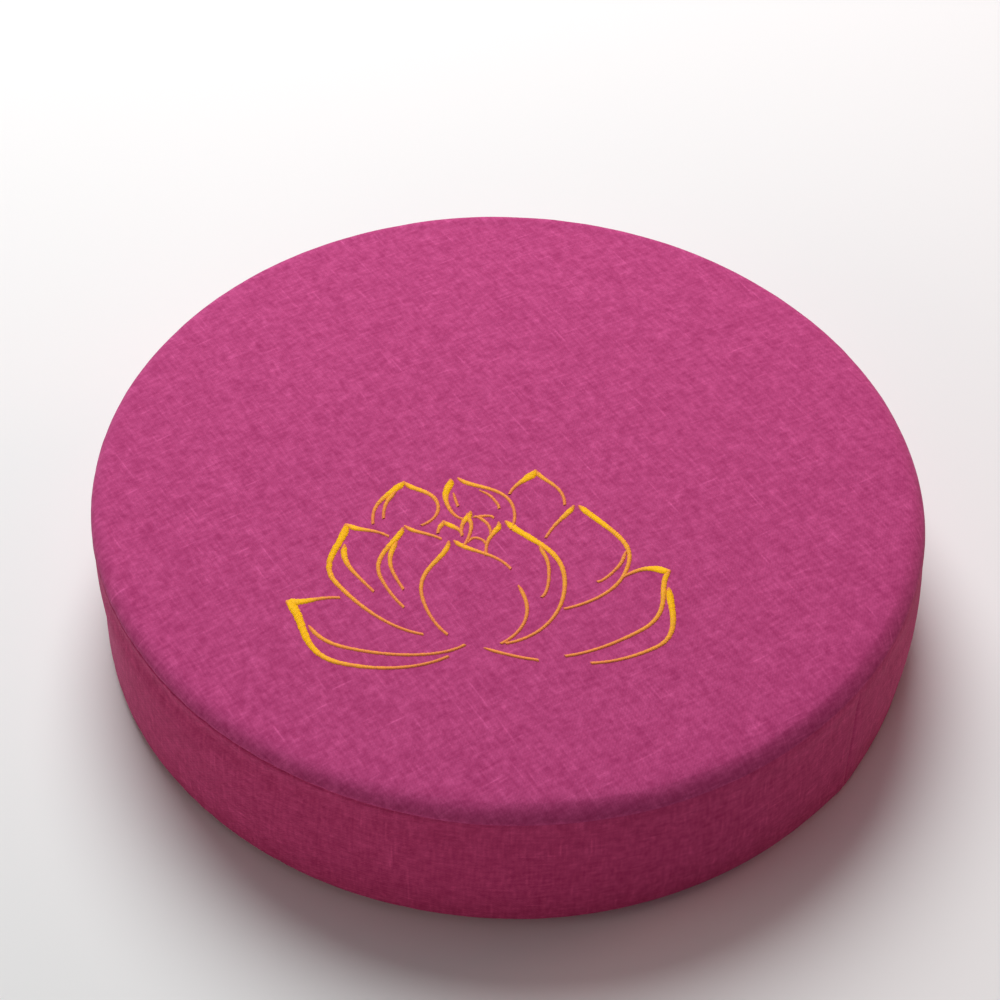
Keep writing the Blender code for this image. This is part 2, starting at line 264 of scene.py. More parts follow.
def make_linen():
    material, nodes, shader = new_material("raspberry_linen")
    flat = nodes.add("ShaderNodeUVMap", {"uv_map": "cloth"})
    x, y = linen_coordinates(nodes, flat)
    warp, warp_tone, warp_slub = yarn_set(nodes, x, y, seed=1.3)
    weft, weft_tone, weft_slub = yarn_set(nodes, y, x + 1, seed=46.1)
    over = smooth_between(nodes, warp - weft, -OVERLAP, OVERLAP)
    tone = weft_tone + (warp_tone - weft_tone) * over
    relief = warp.maths("MAXIMUM", weft)
    slub = warp_slub.maths("MAXIMUM", weft_slub)
    streak = streaks(nodes, x, y, seed=71.7) + streaks(nodes, y, x, seed=93.2)
    # The relief share is painted shade in the weave's hollows.
    light = HOLLOW_SHADE_LIGHT * relief + TONE_LIGHT * tone + STREAK_LIGHT * streak + SLUB_LIGHT * slub
    for mottle in MOTTLES:
        light = light + mottle.light * nodes.noise(flat, mottle.scale, mottle.detail)
    reach = nodes.add("ShaderNodeMapRange", {}, {"Value": light, "From Min": DARKEST, "From Max": PALEST})
    pale = reach ** DYE_CURVE
    # On the boxing strip the linen is mixed towards its painted shade colours.
    strip = nodes.add("ShaderNodeAttribute", {"attribute_name": "strip"}, {}, "Fac")
    dark_dye_and_strip_shade = mix_colour(nodes, strip, DYE_DARK, STRIP_SHADE_DARK)
    pale_dye_and_strip_shade = mix_colour(nodes, strip, DYE_PALE, STRIP_SHADE_PALE)
    bump = nodes.add("ShaderNodeBump", {}, {
        "Strength": 0.36, "Distance": LINEN_RELIEF, "Height": relief + tone + SLUB_RELIEF * slub})
    nodes.feed(shader, {
        "Base Color": mix_colour(nodes, pale, dark_dye_and_strip_shade, pale_dye_and_strip_shade),
        "Roughness": 1.0 - CREST_SMOOTHNESS * relief,
        "Specular IOR Level": 0.12,
        "Sheen Weight": 0.14,
        "Sheen Roughness": 0.35,
        "Sheen Tint": (1.0, 0.62, 0.84),
        "Normal": bump,
    })
    return material


linen = make_linen()
print("linen nodes", len(linen.node_tree.nodes))

# %% [markdown]
# ## The filling, by cloth simulation
# A filled cover stands under a slight pressure: its panels swell and its seams hold them in. That
# is what Blender's Cloth does with pressure and pinned seams, so a coarse copy of the CAD solid is
# remeshed into even squares and blown up for twenty frames. Its movement is capped, because this
# cushion is firm and nearly flat.

# %% Blow the cover up
RIM_HEIGHT = 0.082
SHOULDER = 0.0085
FOOT_ROLL = 0.007
RADIUS = 0.200
TOP_SEAM = RIM_HEIGHT - SHOULDER
BOTTOM_SEAM_ANGLE = math.radians(60)
BOTTOM_SEAM = FOOT_ROLL * (1 - math.sin(BOTTOM_SEAM_ANGLE))
VOXEL = 0.006
START_INSET = 0.0009
SEWN_REACH = VOXEL * 0.8
PRESSURE = 4.0
LAST_FRAME = 20
MOST_MOVE = 0.006


def evaluated_mesh(thing):
    depsgraph = bpy.context.evaluated_depsgraph_get()
    return bpy.data.meshes.new_from_object(thing.evaluated_get(depsgraph), depsgraph=depsgraph)


def add_object(name, mesh):
    thing = bpy.data.objects.new(name, mesh)
    scene.collection.objects.link(thing)
    return thing


def coarse_cover():
    """The CAD solid as an even quad mesh, drawn in a little so that it can swell."""
    copy = add_object("cover_to_fill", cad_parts["cushion"].data.copy())
    remesh = copy.modifiers.new("Even squares", "REMESH")
    remesh.mode = "VOXEL"
    remesh.voxel_size = VOXEL
    mesh = evaluated_mesh(copy)
    bpy.data.objects.remove(copy)
    for vertex, normal in zip(mesh.vertices, [v.normal.copy() for v in mesh.vertices]):
        vertex.co -= normal * START_INSET
    return add_object("cover_filling", mesh)


def fill_cover():
    """Surface of the cover after it has swelled, as points and polygons."""
    cover = coarse_cover()
    start = [v.co.copy() for v in cover.data.vertices]
    sewn = cover.vertex_groups.new(name="sewn")
    held = [i for i, co in enumerate(start) if math.hypot(co.x, co.y) > RADIUS - 2 * SHOULDER
            and min(abs(co.z - TOP_SEAM), abs(co.z - BOTTOM_SEAM)) < SEWN_REACH]
    sewn.add(held, 1.0, "REPLACE")
    cloth = cover.modifiers.new("Filling", "CLOTH")
    cloth.settings.use_pressure = True
    cloth.settings.uniform_pressure_force = PRESSURE
    cloth.settings.vertex_group_mass = "sewn"
    cloth.settings.effector_weights.gravity = 0
    cloth.point_cache.frame_end = LAST_FRAME
    for number in range(1, LAST_FRAME + 1):
        scene.frame_set(number)
    swelled = evaluated_mesh(cover)
    for vertex, old in zip(swelled.vertices, start):
        move = vertex.co - old
        if move.length > MOST_MOVE:
            vertex.co = old + move * (MOST_MOVE / move.length)
    cover.modifiers.remove(cloth)
    cover.data = swelled
    scene.frame_set(1)
    subdivide = cover.modifiers.new("Finer", "SUBSURF")
    subdivide.levels = subdivide.render_levels = 1
    mesh = evaluated_mesh(cover)
    points = [v.co.copy() for v in mesh.vertices]
    faces = [tuple(p.vertices) for p in mesh.polygons]
    bpy.data.objects.remove(cover)
    return points, faces


filled_points, filled_faces = fill_cover()
filled = BVHTree.FromPolygons(filled_points, filled_faces)
node_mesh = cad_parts["cushion"].data
built = BVHTree.FromPolygons([v.co.copy() for v in node_mesh.vertices],
                             [tuple(p.vertices) for p in node_mesh.polygons])
print("filled cover", len(filled_faces), "faces")

# %% [markdown]
# ## Panels, boxing and seams
# Remeshing loses the seams and the direction of the cloth, so the cover is laid over again as
# rings and columns. Rings lie close together where a round seam runs, and columns on both sides of
# the strip's end seam, where the first column is. Each point is shot inwards on to the CAD form
# and the swelled form and takes a place between them. Grooves and puckers are then pressed in
# from the seams' own lines.

# %% Rings and columns of the cover
COLUMNS = 720
CLOSE_COLUMNS = 24
CLOSE_STEP = 0.0004 / RADIUS
END_SEAM = math.radians(-45.2)
END_SEAM_SLANT = 0.01
GRAIN = math.radians(24.5)
SWELL_SHARE = 0.35
NEAR_SEAM = (0, 0.0003, 0.0007, 0.0012, 0.0018, 0.0026, 0.0036)
TOP_STEP = 0.0045
ROLL_STEP = 0.0012
WALL_STEP = 0.0025
UNDER_STEP = 0.016
Ring = namedtuple("Ring", "radius height out_r out_z reach strip")


def spaced(start, end, step):
    count = max(round(abs(end - start) / step), 1)
    return [start + (end - start) * i / count for i in range(count)]


def roll_ring(centre, height, size, angle, reach, strip):
    """A ring on a rounded edge, at an angle above the level of the edge's centre."""
    out_r, out_z = math.cos(angle), math.sin(angle)
    return Ring(centre + size * out_r, height + size * out_z, out_r, out_z, reach, strip)


def cover_rings():
    """Rings from the top's centre to the bottom's, and the places of the two seams in the list.

    Each ring knows how far it lies from the middle of its round panel, measured on the cloth,
    and how high on the boxing strip."""
    inner = RADIUS - SHOULDER
    rings = [Ring(radius, RIM_HEIGHT, 0, 1, radius, TOP_SEAM) for radius in spaced(0.0, inner, TOP_STEP)]
    arc = SHOULDER * math.pi / 2
    for left in spaced(arc, NEAR_SEAM[-1], ROLL_STEP) + list(reversed(NEAR_SEAM)):
        rings.append(roll_ring(inner, TOP_SEAM, SHOULDER, left / SHOULDER, inner + arc - left, TOP_SEAM))
    top_seam = len(rings) - 1
    heights = [TOP_SEAM - step for step in NEAR_SEAM[1:]]
    for height in heights[:-1] + spaced(heights[-1], FOOT_ROLL, WALL_STEP):
        rings.append(Ring(RADIUS, height, 1, 0, 0, height))
    foot = RADIUS - FOOT_ROLL
    arc = FOOT_ROLL * BOTTOM_SEAM_ANGLE
    for left in spaced(arc, NEAR_SEAM[-1], ROLL_STEP) + list(reversed(NEAR_SEAM)):
        angle = (left - arc) / FOOT_ROLL
        rings.append(roll_ring(foot, FOOT_ROLL, FOOT_ROLL, angle, foot, FOOT_ROLL - arc + left))
    bottom_seam = len(rings) - 1
    under = FOOT_ROLL * (math.pi / 2 - BOTTOM_SEAM_ANGLE)
    for past in [step for step in NEAR_SEAM[1:] if step < under]:
        angle = -BOTTOM_SEAM_ANGLE - past / FOOT_ROLL
        rings.append(roll_ring(foot, FOOT_ROLL, FOOT_ROLL, angle, foot - past, 0))
    rings += [Ring(radius, 0, 0, -1, radius, 0) for radius in spaced(foot, 0.0, UNDER_STEP) + [0.0]]
    return rings, top_seam, bottom_seam


rings, top_seam_row, bottom_seam_row = cover_rings()
lies_flat = np.array([ring.out_z == -1 for ring in rings])
travel = np.concatenate([[0], np.cumsum(np.hypot(np.diff([ring.radius for ring in rings]),
                                                 np.diff([ring.height for ring in rings])))])
print(len(rings), "rings, top seam on", top_seam_row, "bottom seam on", bottom_seam_row)

# %% Lay the cover on the filling
RAY_START = 0.02
SMOOTHING = 3
GROOVE_REACH = 0.0046
SETTLED_HEIGHT = 0.02


def column_turns():
    """How far each column lies round from the end seam; the columns on both sides of it are close."""
    close = CLOSE_STEP * np.arange(1, CLOSE_COLUMNS + 1)
    rest = np.linspace(close[-1], 2 * math.pi - close[-1], COLUMNS - 2 * CLOSE_COLUMNS + 1)
    return np.concatenate([[0], close, rest[1:-1], 2 * math.pi - close[::-1]])


TURNS = column_turns()
ANGLES = TURNS + END_SEAM


def surface_depth(tree, point, outward):
    """How far a form's surface stands out from a guide point."""
    hit = tree.ray_cast(point + outward * RAY_START, -outward, 3 * RAY_START)
    return RAY_START - hit[3] if hit[0] else 0.0


def blurred(grid, times):
    """Softens a grid of depths along the rings and across them, with the ends kept."""
    for _ in range(times):
        grid = (np.roll(grid, 1, 1) + 2 * grid + np.roll(grid, -1, 1)) / 4
        grid[1:-1] = (grid[:-2] + 2 * grid[1:-1] + grid[2:]) / 4
    return grid


def bridged(grid, seam_row):
    """Levels the CAD's broad groove at a seam, so that a finer one can be pressed in."""
    rows = np.flatnonzero(np.abs(travel - travel[seam_row]) < GROOVE_REACH)
    before, after = rows[0] - 1, rows[-1] + 1
    for row in rows:
        share = (travel[row] - travel[before]) / (travel[after] - travel[before])
        grid[row] = grid[before] + (grid[after] - grid[before]) * share
    return grid


def laid_cover():
    """Points of every ring, and the outward direction at each, as two grids."""
    places = np.zeros((len(rings), COLUMNS, 3))
    outward = np.zeros((len(rings), COLUMNS, 3))
    depth = np.zeros((len(rings), COLUMNS))
    for row, ring in enumerate(rings):
        share = SWELL_SHARE * min(ring.height / SETTLED_HEIGHT, 1)
        for column in range(COLUMNS):
            flat = (math.cos(ANGLES[column]), math.sin(ANGLES[column]))
            point = Vector((flat[0] * ring.radius, flat[1] * ring.radius, ring.height))
            out = Vector((flat[0] * ring.out_r, flat[1] * ring.out_r, ring.out_z))
            places[row, column] = point
            outward[row, column] = out
            if ring.out_z > -1:
                solid = surface_depth(built, point, out)
                soft = surface_depth(filled, point, out)
                depth[row, column] = solid + (soft - solid) * share
    depth = bridged(bridged(depth, top_seam_row), bottom_seam_row)
    depth = blurred(depth, SMOOTHING)
    depth[0] = depth[0].mean()
    depth[lies_flat] = 0
    return places + outward * depth[..., None], outward


cover_points, cover_out = laid_cover()
print("cover", [round(v / MM, 1) for v in np.ptp(cover_points, (0, 1))], "mm")

# %% [markdown]
# ## How the filling has set
# No filling lies quite even. This one stands out a little at the rim on the left, falls in below
# it, and bulges low on the right and along the far rim. Each such place is a soft mound or hollow,
# given by its azimuth and height, how far it spreads, and how much it stands out.

# %% Let the filling set
FULLNESS = 0.0005
Mound = namedtuple("Mound", "azimuth height round_spread up_spread amount")
MOUNDS = (
    Mound(176, 0.070, 22, 0.026, 0.0007),
    Mound(184, 0.040, 15, 0.018, -0.0018),
    Mound(352, 0.030, 24, 0.030, 0.0024),
    Mound(0, 0.078, 24, 0.030, 0.0008),
    Mound(76, 0.080, 42, 0.030, 0.0020),
    Mound(262, 0.018, 26, 0.016, 0.0006),
)


def settled_filling():
    """How far the set filling stands out at each point of the cover."""
    heights = np.array([ring.height for ring in rings])[:, None]
    stand = np.full((len(rings), COLUMNS), FULLNESS)
    for mound in MOUNDS:
        apart = np.degrees((ANGLES - math.radians(mound.azimuth) + math.pi) % (2 * math.pi) - math.pi)
        round_share = np.exp(-(apart / mound.round_spread) ** 2)[None, :]
        up_share = np.exp(-((heights - mound.height) / mound.up_spread) ** 2)
        stand = stand + mound.amount * round_share * up_share
    return stand * np.array([max(ring.out_r, 0) for ring in rings])[:, None]


cover_points = cover_points + cover_out * settled_filling()[..., None]
widest = np.hypot(cover_points[..., 0], cover_points[..., 1]).max()
print("widest", round(widest / MM, 1), "mm from the axis")

# %% [markdown]
# ## Seams drawn in
# Thread pulls the two layers of a plain seam together, so the cloth dips to a sharp line there,
# with a low roll on each side. It never pulls evenly: the seams are tight at the front left, and
# where the top one is slack the filling lifts the cloth below it. Small puckers cross a seam every
# finger's breadth. All are sums of bell curves of the distance from the seam, with a fixed seed.

# %% Press the seams and puckers in
SEAM_DEPTH = 0.0011
SEAM_HALF_WIDTH = 0.0007
SEAM_ROLL = 0.00022
SEAM_ROLL_REACH = 0.0030
TIGHT_SIDE = math.radians(212)
TIGHT_FOCUS = 9
SLACK_SHARE = 0.04
UNEVEN_SHARE = 0.7
UNEVEN_TURN = 7
SEAM_DRAW = 0.0018
SEAM_DRAW_BELOW = 0.007
SLACK_FILL = 0.0009
SLACK_FILL_BELOW = 0.004
SLACK_EASE = 0.0006
SLACK_EASE_ABOVE = 0.009
SLACK_SPREAD = 0.007
END_SEAM_DEPTH = 0.0006
END_SEAM_HALF_WIDTH = 0.0009
END_CORNER = 0.0018
END_CORNER_REACH = 0.016
PUCKER_REACH = 0.03
PUCKER_SPACING = (0.006, 0.017)
Pucker = namedtuple("Pucker", "angle depth width length slant")
PUCKER_SPANS = ((0.00006, 0.00034), (0.0014, 0.0030), (0.004, 0.014), (-0.9, 0.9))


def bell(distance, width):
    return np.exp(-(distance / width) ** 2)


def sewn_puckers(seed):
    """Puckers at uneven steps round the cushion; depth, width, length and slant each have a span."""
    chance = np.random.RandomState(seed)
    puckers, along = [], 0.0
    while along < 2 * math.pi * RADIUS:
        shape = [chance.uniform(*span) for span in PUCKER_SPANS]
        puckers.append(Pucker(along / RADIUS, *shape))
        along += chance.uniform(*PUCKER_SPACING)
    return puckers


def seam_evenness(angle, seed):
    """Noise round the cushion, which joins up after a full turn."""
    return noise.noise(Vector((math.cos(angle) * UNEVEN_TURN, math.sin(angle) * UNEVEN_TURN, seed)))


def press_round_seam(row, seed):
    """How far one round seam and its puckers draw each point of the cover in."""
    off = (travel - travel[row])[:, None]
    uneven = UNEVEN_SHARE * np.array([seam_evenness(angle, seed) for angle in ANGLES])
    facing = (0.5 + 0.5 * np.cos(ANGLES - TIGHT_SIDE)) ** TIGHT_FOCUS
    tight = SLACK_SHARE + (1 - SLACK_SHARE) * facing
    depth = SEAM_DEPTH * tight * bell(off, SEAM_HALF_WIDTH) * (1 + uneven)
    depth = depth - SEAM_ROLL * tight * bell(np.abs(off) - SEAM_ROLL_REACH, SEAM_ROLL_REACH / 2)
    if row == top_seam_row:
        depth = depth + SEAM_DRAW * tight * bell(off - SEAM_DRAW_BELOW, SEAM_DRAW_BELOW)
        depth = depth - (1 - tight) * SLACK_FILL * bell(off - SLACK_FILL_BELOW, SLACK_SPREAD)
        depth = depth + (1 - tight) * SLACK_EASE * bell(off + SLACK_EASE_ABOVE, SLACK_SPREAD)
    near = np.abs(travel - travel[row]) < PUCKER_REACH
    for pucker in sewn_puckers(seed):
        along = RADIUS * (TURNS - pucker.angle) + pucker.slant * off[near]
        fold = pucker.depth * bell(along, pucker.width) * np.exp(-np.abs(off[near]) / pucker.length)
        depth[near] += fold * tight
    return depth


def press_end_seam():
    """The strip's own upright seam, which fades at the round seams. Below, it stands out as a corner."""
    depth = np.zeros((len(rings), COLUMNS))
    middle = (TOP_SEAM + BOTTOM_SEAM) / 2
    turned = (TURNS + math.pi) % (2 * math.pi) - math.pi
    for row in range(top_seam_row, bottom_seam_row + 1):
        height = rings[row].height
        share = (height - BOTTOM_SEAM) / (TOP_SEAM - BOTTOM_SEAM)
        fade = math.sin(math.pi * min(max(share, 0), 1)) ** 0.5
        shift = END_SEAM_SLANT * (height - middle) / RIM_HEIGHT
        off = RADIUS * (turned - shift)
        corner = END_CORNER * (1 - share) * np.exp(-np.abs(off) / END_CORNER_REACH)
        depth[row] = fade * END_SEAM_DEPTH * bell(off, END_SEAM_HALF_WIDTH) - corner
    return depth


pressed = press_round_seam(top_seam_row, seed=3) + press_round_seam(bottom_seam_row, seed=8)
pressed = pressed + press_end_seam()
pressed[lies_flat] = 0
cover_points = cover_points - cover_out * pressed[..., None]
cover_points[..., 2] = np.maximum(cover_points[..., 2], 0)
print("deepest press", round(pressed.max() / MM, 2), "mm")

# %% [markdown]
# ## One closed mesh
# The rings become one closed skin of quads, with a single point at each pole. Its UV map holds
# the cloth's own coordinates in metres. The top's grain is turned, as a round cut from a roll of
# cloth falls as it likes, and the boxing's runs straight up. An attribute marks the boxing
# strip, whose linen is mixed a little redder and deeper than the round panels': painted shade.

# %% Build the cover's mesh
def cloth_place(ring, column, panel):
    turn = TURNS[column] if column < COLUMNS else 2 * math.pi
    if panel == "boxing":
        return (turn * RADIUS, ring.strip)
    turned = END_SEAM + turn - (GRAIN if panel == "top" else 0)
    return (ring.reach * math.cos(turned), ring.reach * math.sin(turned))


def make_cover():
    last = len(rings) - 1
    points = [tuple(cover_points[0].mean(0))]
    for row in range(1, last):
        points += [tuple(p) for p in cover_points[row]]
    points.append(tuple(cover_points[last].mean(0)))

    def index(row, column):
        if row == 0:
            return 0
        if row == last:
            return len(points) - 1
        return 1 + (row - 1) * COLUMNS + column % COLUMNS

    faces, places, strip = [], [], []
    for row in range(last):
        panel = "top" if row < top_seam_row else "boxing" if row < bottom_seam_row else "bottom"
        for column in range(COLUMNS):
            corners = [(row, column), (row + 1, column), (row + 1, column + 1), (row, column + 1)]
            if row == 0:
                corners = corners[:3]
            elif row + 1 == last:
                corners = [corners[0], corners[1], corners[3]]
            faces.append([index(*corner) for corner in corners])
            places += [cloth_place(rings[r], c, panel) for r, c in corners]
            strip.append(1.0 if panel == "boxing" else 0.0)
    mesh = bpy.data.meshes.new("cushion_cover")
    mesh.from_pydata(points, [], faces)
    layer = mesh.uv_layers.new(name="cloth")
    layer.data.foreach_set("uv", np.array(places, np.float32).ravel())
    # The strip attribute places the linen's painted shade on the boxing.
    mesh.attributes.new("strip", "FLOAT", "FACE").data.foreach_set("value", strip)
    mesh.shade_smooth()
    mesh.materials.append(linen)
    mesh.update()
    return add_object("cushion_cover", mesh)


cover = make_cover()
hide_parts("cushion")
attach(cover, "root")
print("cover", len(cover.data.polygons), "faces")

# %% [markdown]
# ## Gold thread
# Rayon embroidery thread is smooth and shines softly. The finish runs from a deep to a full gold,
# by a tone that every stitch carries as an attribute: a little of it is chance, and a broad
# stroke's stitches are fuller than a fine one's, whose deeper, pinker gold is painted shade.

# %% The thread's finish
GOLD = (1.0, 0.580, 0.004)
# The deep end is painted shade, given to fine strokes.
GOLD_DEEP_SHADED = (0.86, 0.262, 0.105)
GOLD_SHINE = (1.0, 0.78, 0.20)


def make_gold():
    material, nodes, shader = new_material("gold_thread")
    tone = nodes.add("ShaderNodeAttribute", {"attribute_name": "tone"}, {}, "Fac")
    nodes.feed(shader, {
        "Base Color": mix_colour(nodes, tone, GOLD_DEEP_SHADED, GOLD),
        "Roughness": 0.42,
        "Specular IOR Level": 0.5,
        "Specular Tint": GOLD_SHINE,
    })
    return material


gold = make_gold()
print("gold nodes", len(gold.node_tree.nodes))

# %% [markdown]
# ## The lotus, petal by petal
# The flower is charted in millimetres. A petal has a base, a tip, the breadth of each side, how
# high up it is widest, and how full it is towards the tip and at the foot. A stroke follows one
# side of a petal between two fractions of its height, at a width, and may lie inside the side.
# The CAD's bands stop short of each other, as solids must; here the strokes run on until they
# meet, and three fine ones join them. Two curves give each side: one swells out of the base, the
# other draws in to the tip.

# %% The flower's chart
FLOWER_AT = (-23.8, -106.8)
FOOT_RISE = 0.08
BELLY_PULL = 0.52
CHEEK_PULL = 0.62
TIP_PULL = 0.34
Petal = namedtuple("Petal", "base tip left right high full foot", defaults=(0.14, 0.62))
PETALS = {
    "front": Petal((-2, 0), (-10, 64), 20, 26, 0.51),
    "front_far": Petal((-2, 0), (-8.5, 66), 20, 24.2, 0.50),
    "front_low": Petal((3, -1), (-10, 64), 4, 22.5, 0.36),
    "inner_left": Petal((-11, 12), (-30, 77.2), 22, 16, 0.60),
    "inner_right": Petal((4, 0), (18, 73.5), 12, 29.5, 0.49, 0.44, 0.60),
    "inner_right_near": Petal((10, 40), (14.6, 74), 5.5, 5, 0.45, -0.45),
    "inner_right_vein": Petal((28, 25), (32, 57), 2, 4, 0.50),
    "middle_left": Petal((-16, 9), (-56.8, 80.8), 24.2, 13.0, 0.67, 0.20),
    "middle_right": Petal((18, 17), (54, 79.5), 8, 34.8, 0.57, 0.72, 0.30),
    "middle_right_near": Petal((18, 17), (52, 80.5), 5.5, 8, 0.57),
    "middle_right_vein": Petal((55, 31.5), (72, 49), 1, 2.5, 0.50),
    "low_left": Petal((-8, 3), (-88, 37), 27.5, 9.6, 0.60, foot=0.50),
    "low_right": Petal((14, -4), (90, 35), 13.5, 21, 0.62),
    "low_right_brow": Petal((20, 4), (90, 35), 7.6, 1, 0.78, 0.45),
    "low_right_outer": Petal((14, 1), (90.5, 35), 10, 34, 0.63, foot=0.60),
    "back_left": Petal((-26, 74.5), (-26.5, 104.6), 16, 14, 0.42),
    "back_left_near": Petal((-25.5, 63.5), (-26.5, 104.8), 18, 10, 0.36, 0.50),
    "back_centre": Petal((4, 57), (-1, 104.6), 11, 21.5, 0.48),
    "back_centre_near": Petal((-0.5, 77), (-4.5, 103.6), 5.6, 5, 0.44, 0.10),
    "back_centre_vein": Petal((16, 81.5), (8.5, 95), 2, 2, 0.50),
    "back_right": Petal((30, 59), (37, 105.1), 13, 14, 0.52, 0.20),
    "bud_left": Petal((-12.5, 59), (-11, 77.1), 2.8, 8.5, 0.48),
    "bud_right": Petal((3, 57), (2.5, 81.6), 6, 7.6, 0.46),
    "bud_back": Petal((8, 61), (3.2, 77.7), 5, 9, 0.70, 0.90),
    "bud_vein": Petal((-5, 59), (0.8, 80.6), 2, 3.2, 0.56, foot=0.40),
    "bud_low": Petal((7, 60), (-1, 62.2), 1, 3.4, 0.62, 0.70),
    "root": Petal((-2, -1), (22, -11), 2, 0.8, 0.50),
}
Stroke = namedtuple("Stroke", "name petal side begin end width inset", defaults=(0,))
STROKES = (
    Stroke("front_left", "front", "left", 1.00, 0.24, 2.8),
    Stroke("front_right", "front_far", "right", 0.97, 0.58, 2.8),
    Stroke("front_right_low", "front_low", "right", 0.42, 0.03, 1.9),
    Stroke("inner_left", "inner_left", "left", 0.97, 0.39, 3.2),
    Stroke("inner_left_double", "inner_left", "left", 0.83, 0.50, 2.8, 6.4),
    Stroke("inner_left_back", "inner_left", "right", 0.985, 0.72, 2.4),
    Stroke("inner_right", "inner_right", "right", 1.00, 0.04, 3.8),
    Stroke("inner_right_double", "inner_right_vein", "right", 1.00, 0.02, 2.0),
    Stroke("inner_right_back", "inner_right_near", "left", 0.98, 0.40, 3.0),
    Stroke("middle_left", "middle_left", "left", 1.00, 0.17, 4.0),
    Stroke("middle_left_double", "middle_left", "left", 0.84, 0.55, 3.2, 10.2),
    Stroke("middle_left_back", "middle_left", "right", 1.00, 0.74, 3.2),
    Stroke("middle_right", "middle_right", "right", 1.00, 0.23, 3.6),
    Stroke("middle_right_double", "middle_right_vein", "right", 1.00, 0.02, 1.8),
    Stroke("middle_right_back", "middle_right_near", "left", 0.99, 0.62, 3.0),
    Stroke("low_left", "low_left", "left", 1.00, 0.16, 4.6),
    Stroke("low_left_double", "low_left", "left", 0.79, 0.05, 2.0, 9.0),
    Stroke("low_left_top", "low_left", "right", 1.00, 0.69, 4.2),
    Stroke("low_right", "low_right_outer", "right", 0.90, 0.36, 3.6),
    Stroke("low_right_double", "low_right", "right", 1.00, 0.28, 2.8),
    Stroke("low_right_top", "low_right_brow", "left", 1.00, 0.74, 4.6),
    Stroke("back_left", "back_left_near", "left", 1.00, 0.38, 4.0),
    Stroke("back_left_double", "back_left_near", "left", 0.84, 0.42, 2.4, 5.2),
    Stroke("back_left_far", "back_left", "right", 1.00, 0.08, 3.0),
    Stroke("back_centre", "back_centre_near", "left", 1.00, 0.03, 4.2),
    Stroke("back_centre_far", "back_centre", "right", 0.99, 0.27, 2.6),
    Stroke("back_right", "back_right", "left", 1.00, 0.60, 4.6),
    Stroke("back_right_far", "back_right", "right", 1.00, 0.52, 2.4),
    Stroke("bud_left", "bud_left", "left", 1.00, 0.54, 2.6),
    Stroke("bud_left_far", "bud_left", "right", 1.00, 0.47, 3.2),
    Stroke("bud_right", "bud_right", "left", 1.00, 0.44, 3.4),
    Stroke("bud_right_far", "bud_right", "right", 0.86, 0.40, 1.7),
    Stroke("bud_back", "bud_back", "right", 1.00, 0.74, 1.7),
    Stroke("bud_vein", "bud_vein", "right", 1.00, 0.10, 2.2),
    Stroke("root_right", "root", "right", 0.04, 0.98, 1.6),
)
FINE_STROKES = (
    Stroke("back_centre_vein", "back_centre_vein", "right", 1.00, 0.05, 1.4),
    Stroke("back_centre_spur", "back_centre_near", "left", 0.60, 0.37, 1.4, 4.5),
    Stroke("bud_low", "bud_low", "right", 1.00, 0.10, 1.5),
)


def bezier(start, out, into, end, t):
    s = 1 - t
    weights = (s**3, 3 * s * s * t, 3 * s * t * t, t**3)
    knots = (start, out, into, end)
    return [sum(w * knot[i] for w, knot in zip(weights, knots)) for i in (0, 1)]


def petal_side(petal, side, t, inset):
    """A point on one side of a petal, at the fraction t of the way from its base to its tip."""
    length = math.dist(petal.base, petal.tip)
    breadth = (petal.left if side == "left" else petal.right) - inset
    widest = petal.high * length
    rise = length - widest
    if t < petal.high:
        out = (breadth * petal.foot, widest * FOOT_RISE)
        into = (breadth, widest * (1 - BELLY_PULL))
        across, along = bezier((0, 0), out, into, (breadth, widest), t / petal.high)
    else:
        out = (breadth, widest + rise * CHEEK_PULL)
        into = (breadth * petal.full, length - rise * TIP_PULL)
        share = (t - petal.high) / (1 - petal.high)
        across, along = bezier((breadth, widest), out, into, (0, length), share)
    if side == "left":
        across = -across
    up = [(tip - base) / length for base, tip in zip(petal.base, petal.tip)]
    x = petal.base[0] + up[0] * along + up[1] * across
    y = petal.base[1] + up[1] * along - up[0] * across
    return x + FLOWER_AT[0], y + FLOWER_AT[1]


print(len(PETALS), "petals,", len(STROKES) + len(FINE_STROKES), "strokes")

# %% [markdown]
# ## Satin stitches by Geometry Nodes
# Satin stitch lays thread side by side across a stroke, a little slanted, each over the padding
# and down into the cloth. A stroke's path is a curve whose radius is half the stroke's width. The
# node tree sets one arched thread on every step of the path, stretched to that width, and stores a
# tone for each.

# %% The stitch tree
STITCH_STEP = 0.00036
STITCH_THICKNESS = 0.00021
STITCH_RISE = 0.00048
STEEPEST_RISE = 0.9
STITCH_SLANT = 0.42
STITCH_SIZES = (0.88, 1.12)
CHANCE_TONE = 0.30
# The width share of the tone: fine strokes get less of it, a deeper gold that is painted shade.
WIDTH_SHADE_LIFT = 0.85
FINE_HALF_WIDTH = 0.0007
BROAD_HALF_WIDTH = 0.0016
ARCH_POINTS = 7
THREAD_SIDES = 5


def new_tree(name, inputs):
    """A Geometry Nodes tree with a geometry in and out and its named inputs."""
    tree = bpy.data.node_groups.new(name, "GeometryNodeTree")
    tree.interface.new_socket("Geometry", in_out="INPUT", socket_type="NodeSocketGeometry")
    for label, kind, value in inputs:
        socket = tree.interface.new_socket(label, in_out="INPUT", socket_type=kind)
        if value is not None:
            socket.default_value = value
    tree.interface.new_socket("Geometry", in_out="OUTPUT", socket_type="NodeSocketGeometry")
    return tree


